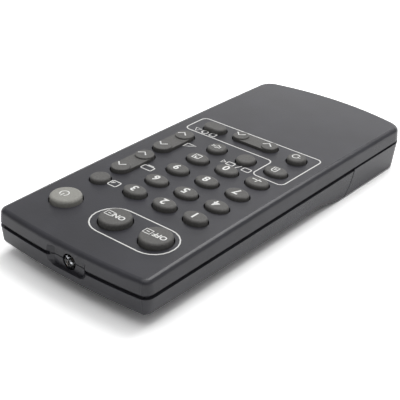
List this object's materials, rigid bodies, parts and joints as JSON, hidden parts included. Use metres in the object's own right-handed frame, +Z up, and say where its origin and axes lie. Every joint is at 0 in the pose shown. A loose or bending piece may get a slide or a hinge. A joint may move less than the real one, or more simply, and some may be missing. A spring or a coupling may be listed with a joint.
{
  "type": "tv remote control",
  "caption": "Handheld infrared remote control with a two-part case, press keys, rocker keys and a battery cover that slides off the hand end.",
  "frame": {"origin": "under the middle of the handset, on the surface that it lies on", "axes": "+Y towards the infrared emitter end, +Z up out of the keys, +X to the right of someone holding it with the emitter end away"},
  "size_m": [0.062, 0.1438, 0.0182],
  "materials": {
    "case": "fine matt texture, charcoal grey",
    "cover": "fine matt texture, charcoal grey",
    "silicone": "moulded silicone, matt",
    "key_rubber": "moulded silicone, matt, warm grey",
    "power_rubber": "moulded silicone, matt, light warm grey",
    "board": "paper laminate, green solder mask on top",
    "carbon": "printed carbon",
    "lamp": "clear moulded lens",
    "chip": "moulded epoxy, black",
    "ceramic": "dipped ceramic, ochre",
    "sleeve": "shrunk sleeve over an aluminium can",
    "cell": "plain printed jacket, unmarked",
    "spring_metal": "nickel-plated spring strip",
    "screw_metal": "zinc-plated"
  },
  "bodies": {
    "case": {"upper_case": "case", "lower_case": "case", "keypad_sheet": "silicone", "circuit_board": "board", "contact_pads": "carbon", "ir_lamp": "lamp", "controller_chip": "chip", "resonator": "ceramic", "capacitor": "sleeve", "driver_transistor": "chip", "chip_resistors": "chip", "battery_cell_a": "cell", "battery_cell_b": "cell", "contact_bridge": "spring_metal", "contact_positive": "spring_metal", "contact_negative": "spring_metal", "case_screws": "screw_metal"},
    "battery_cover": {"battery_cover": "cover"},
    "key_power": {"key_power": "power_rubber"},
    "key_text_on": {"key_text_on": "key_rubber"},
    "key_text_off": {"key_text_off": "key_rubber"},
    "key_picture": {"key_picture": "key_rubber"},
    "key_1": {"key_1": "key_rubber"},
    "key_2": {"key_2": "key_rubber"},
    "key_3": {"key_3": "key_rubber"},
    "key_4": {"key_4": "key_rubber"},
    "key_5": {"key_5": "key_rubber"},
    "key_6": {"key_6": "key_rubber"},
    "key_7": {"key_7": "key_rubber"},
    "key_8": {"key_8": "key_rubber"},
    "key_9": {"key_9": "key_rubber"},
    "key_two_digit": {"key_two_digit": "key_rubber"},
    "key_0": {"key_0": "key_rubber"},
    "key_reveal": {"key_reveal": "key_rubber"},
    "key_sub_page": {"key_sub_page": "key_rubber"},
    "key_input": {"key_input": "key_rubber"},
    "key_mute": {"key_mute": "key_rubber"},
    "key_recall": {"key_recall": "key_rubber"},
    "key_mode": {"key_mode": "key_rubber"},
    "rocker_channel": {"rocker_channel": "key_rubber"},
    "rocker_volume": {"rocker_volume": "key_rubber"},
    "rocker_page": {"rocker_page": "key_rubber"}
  },
  "joints": [
    {"name": "key_power_press", "type": "slide", "parent": "case", "child": "key_power", "axis": [0, 0, -1], "range_m": [0, 0.0009], "stiffness_N_per_m": 1200},
    {"name": "key_text_on_press", "type": "slide", "parent": "case", "child": "key_text_on", "axis": [0, 0, -1], "range_m": [0, 0.0009], "stiffness_N_per_m": 1200},
    {"name": "key_text_off_press", "type": "slide", "parent": "case", "child": "key_text_off", "axis": [0, 0, -1], "range_m": [0, 0.0009], "stiffness_N_per_m": 1200},
    {"name": "key_picture_press", "type": "slide", "parent": "case", "child": "key_picture", "axis": [0, 0, -1], "range_m": [0, 0.0009], "stiffness_N_per_m": 1200},
    {"name": "key_1_press", "type": "slide", "parent": "case", "child": "key_1", "axis": [0, 0, -1], "range_m": [0, 0.0009], "stiffness_N_per_m": 1200},
    {"name": "key_2_press", "type": "slide", "parent": "case", "child": "key_2", "axis": [0, 0, -1], "range_m": [0, 0.0009], "stiffness_N_per_m": 1200},
    {"name": "key_3_press", "type": "slide", "parent": "case", "child": "key_3", "axis": [0, 0, -1], "range_m": [0, 0.0009], "stiffness_N_per_m": 1200},
    {"name": "key_4_press", "type": "slide", "parent": "case", "child": "key_4", "axis": [0, 0, -1], "range_m": [0, 0.0009], "stiffness_N_per_m": 1200},
    {"name": "key_5_press", "type": "slide", "parent": "case", "child": "key_5", "axis": [0, 0, -1], "range_m": [0, 0.0009], "stiffness_N_per_m": 1200},
    {"name": "key_6_press", "type": "slide", "parent": "case", "child": "key_6", "axis": [0, 0, -1], "range_m": [0, 0.0009], "stiffness_N_per_m": 1200},
    {"name": "key_7_press", "type": "slide", "parent": "case", "child": "key_7", "axis": [0, 0, -1], "range_m": [0, 0.0009], "stiffness_N_per_m": 1200},
    {"name": "key_8_press", "type": "slide", "parent": "case", "child": "key_8", "axis": [0, 0, -1], "range_m": [0, 0.0009], "stiffness_N_per_m": 1200},
    {"name": "key_9_press", "type": "slide", "parent": "case", "child": "key_9", "axis": [0, 0, -1], "range_m": [0, 0.0009], "stiffness_N_per_m": 1200},
    {"name": "key_two_digit_press", "type": "slide", "parent": "case", "child": "key_two_digit", "axis": [0, 0, -1], "range_m": [0, 0.0009], "stiffness_N_per_m": 1200},
    {"name": "key_0_press", "type": "slide", "parent": "case", "child": "key_0", "axis": [0, 0, -1], "range_m": [0, 0.0009], "stiffness_N_per_m": 1200},
    {"name": "key_reveal_press", "type": "slide", "parent": "case", "child": "key_reveal", "axis": [0, 0, -1], "range_m": [0, 0.0009], "stiffness_N_per_m": 1200},
    {"name": "key_sub_page_press", "type": "slide", "parent": "case", "child": "key_sub_page", "axis": [0, 0, -1], "range_m": [0, 0.0009], "stiffness_N_per_m": 1200},
    {"name": "key_input_press", "type": "slide", "parent": "case", "child": "key_input", "axis": [0, 0, -1], "range_m": [0, 0.0009], "stiffness_N_per_m": 1200},
    {"name": "key_mute_press", "type": "slide", "parent": "case", "child": "key_mute", "axis": [0, 0, -1], "range_m": [0, 0.0009], "stiffness_N_per_m": 1200},
    {"name": "key_recall_press", "type": "slide", "parent": "case", "child": "key_recall", "axis": [0, 0, -1], "range_m": [0, 0.0009], "stiffness_N_per_m": 1200},
    {"name": "key_mode_press", "type": "slide", "parent": "case", "child": "key_mode", "axis": [0, 0, -1], "range_m": [0, 0.0009], "stiffness_N_per_m": 1200},
    {"name": "rocker_channel_tilt", "type": "hinge", "parent": "case", "child": "rocker_channel", "pos_m": [0.0198, 0.0215, 0.01325], "axis": [1, 0, 0], "range_deg": [-5, 5], "stiffness_Nm_per_rad": 0.05},
    {"name": "rocker_volume_tilt", "type": "hinge", "parent": "case", "child": "rocker_volume", "pos_m": [0.0198, 0.0011, 0.01325], "axis": [1, 0, 0], "range_deg": [-5, 5], "stiffness_Nm_per_rad": 0.05},
    {"name": "rocker_page_tilt", "type": "hinge", "parent": "case", "child": "rocker_page", "pos_m": [-0.001, -0.0177, 0.01325], "axis": [0, 1, 0], "range_deg": [-5, 5], "stiffness_Nm_per_rad": 0.05},
    {"name": "battery_cover_slide", "type": "slide", "parent": "case", "child": "battery_cover", "axis": [0, -1, 0], "range_m": [0, 0.036]}
  ]
}
